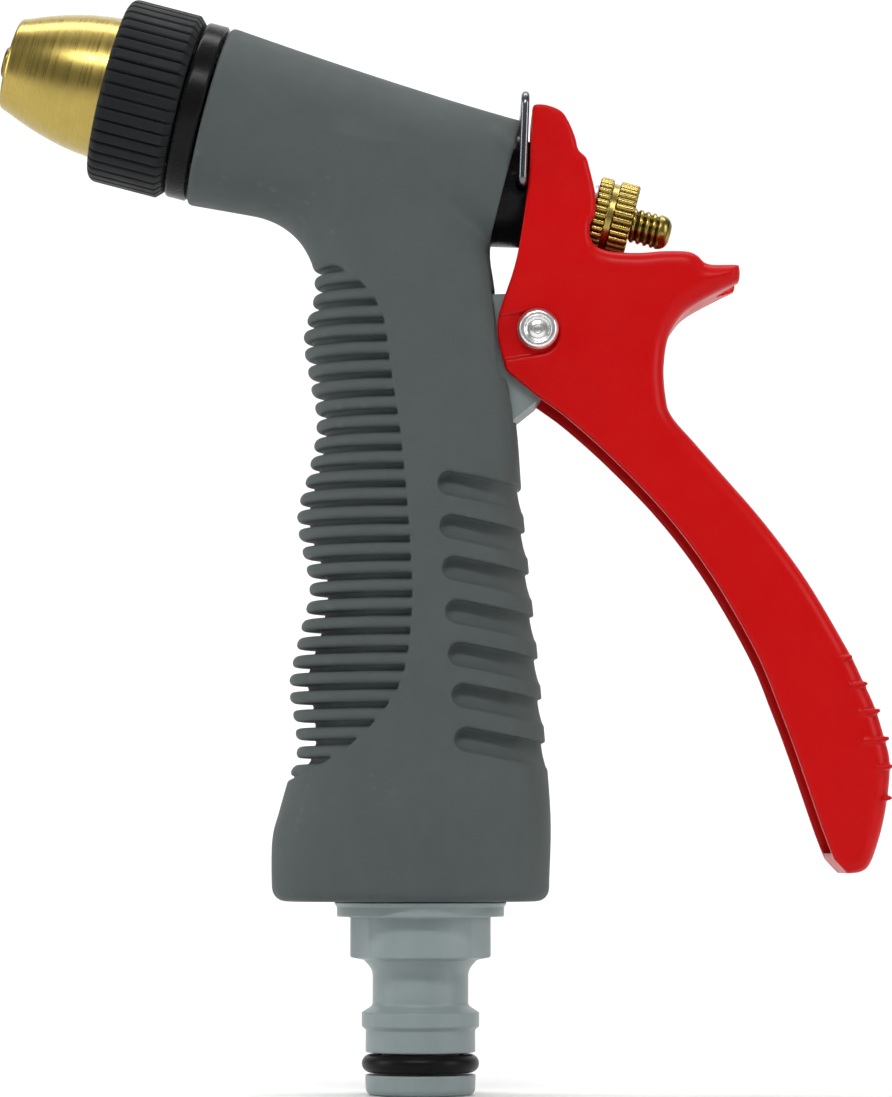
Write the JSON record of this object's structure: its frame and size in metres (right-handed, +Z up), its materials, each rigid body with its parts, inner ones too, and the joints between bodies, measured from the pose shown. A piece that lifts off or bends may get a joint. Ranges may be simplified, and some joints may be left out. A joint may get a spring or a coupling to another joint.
{
  "type": "garden hose spray gun",
  "caption": "Pistol spray gun for a garden hose: ribbed rubber grip, rear lever, needle valve with adjusting nut, twist brass nozzle and quick-connect tail.",
  "frame": {"origin": "centre of the hose connector's lower end face", "axes": "+Z up along the connector and the grip, -X the way the nozzle points, +X towards the lever"},
  "size_m": [0.1288, 0.029, 0.1596],
  "materials": {
    "black_plastic": "gloss black moulded plastic",
    "brass": "satin turned brass",
    "seal_rubber": "black seal rubber",
    "grey_plastic": "light grey glass-filled plastic, semi-matte",
    "grip_rubber": "anthracite soft-touch rubber",
    "collar_rubber": "black ribbed rubber, satin",
    "red_paint": "red semi-gloss enamel on a casting",
    "nickel": "nickel-plated steel",
    "spring_steel": "bright spring steel",
    "wire_chrome": "dark bright-drawn steel wire"
  },
  "bodies": {
    "root": {"barrel_body": "black_plastic", "valve_seat": "brass", "rear_bonnet": "black_plastic", "bonnet_oring": "seal_rubber", "stem_oring": "seal_rubber", "spring_seat_washer": "brass", "barrel_front_oring": "seal_rubber", "barrel_rear_oring": "seal_rubber", "grip_core": "grey_plastic", "rubber_sleeve": "grip_rubber", "inlet_connector": "grey_plastic", "connector_gasket": "seal_rubber", "connector_oring": "seal_rubber", "pivot_rivet": "nickel", "return_spring": "spring_steel"},
    "trigger": {"trigger_lever": "red_paint"},
    "stem": {"valve_stem": "brass", "valve_washer": "seal_rubber", "washer_retainer": "brass"},
    "nut_carrier": {"thrust_washer": "spring_steel"},
    "nut": {"adjusting_nut": "brass"},
    "nozzle_carrier": {"nozzle_oring": "seal_rubber"},
    "nozzle": {"nozzle_tip": "brass", "nozzle_grip_ring": "collar_rubber"},
    "bail": {"wire_bail": "wire_chrome"}
  },
  "joints": [
    {"name": "trigger_pull", "type": "hinge", "parent": "root", "child": "trigger", "pos_m": [0.01695, 0, 0.1103], "axis": [0, 1, 0], "range_deg": [0, 16], "stiffness_Nm_per_rad": 2, "springref_deg": -10.03},
    {"name": "stem_slide", "type": "slide", "parent": "root", "child": "stem", "axis": [0.9673, 0, -0.2538], "range_m": [0, 0.00557], "deforming": ["return_spring"]},
    {"name": "nut_shift", "type": "slide", "parent": "stem", "child": "nut_carrier", "axis": [0.9673, 0, -0.2538], "range_m": [0, 0.003]},
    {"name": "nut_turn", "type": "hinge", "parent": "nut_carrier", "child": "nut", "pos_m": [0.02812, 0, 0.12736], "axis": [0.9673, 0, -0.2538], "range_deg": [0, 1081]},
    {"name": "nozzle_shift", "type": "slide", "parent": "root", "child": "nozzle_carrier", "axis": [-0.9673, 0, 0.2538], "range_m": [0, 0.003]},
    {"name": "nozzle_turn", "type": "hinge", "parent": "nozzle_carrier", "child": "nozzle", "pos_m": [-0.04849, 0, 0.14746], "axis": [-0.9673, 0, 0.2538], "range_deg": [0, 541]},
    {"name": "bail_swing", "type": "hinge", "parent": "root", "child": "bail", "pos_m": [0.01473, 0, 0.13149], "axis": [0, 1, 0], "range_deg": [-20, 32]}
  ],
  "couplings": [
    {"joint": "stem_slide", "follows": "trigger_pull", "m_per_rad": 0.01957},
    {"joint": "nut_turn", "follows": "nut_shift", "rad_per_m": 6283.2},
    {"joint": "nozzle_turn", "follows": "nozzle_shift", "rad_per_m": 3141.6}
  ]
}
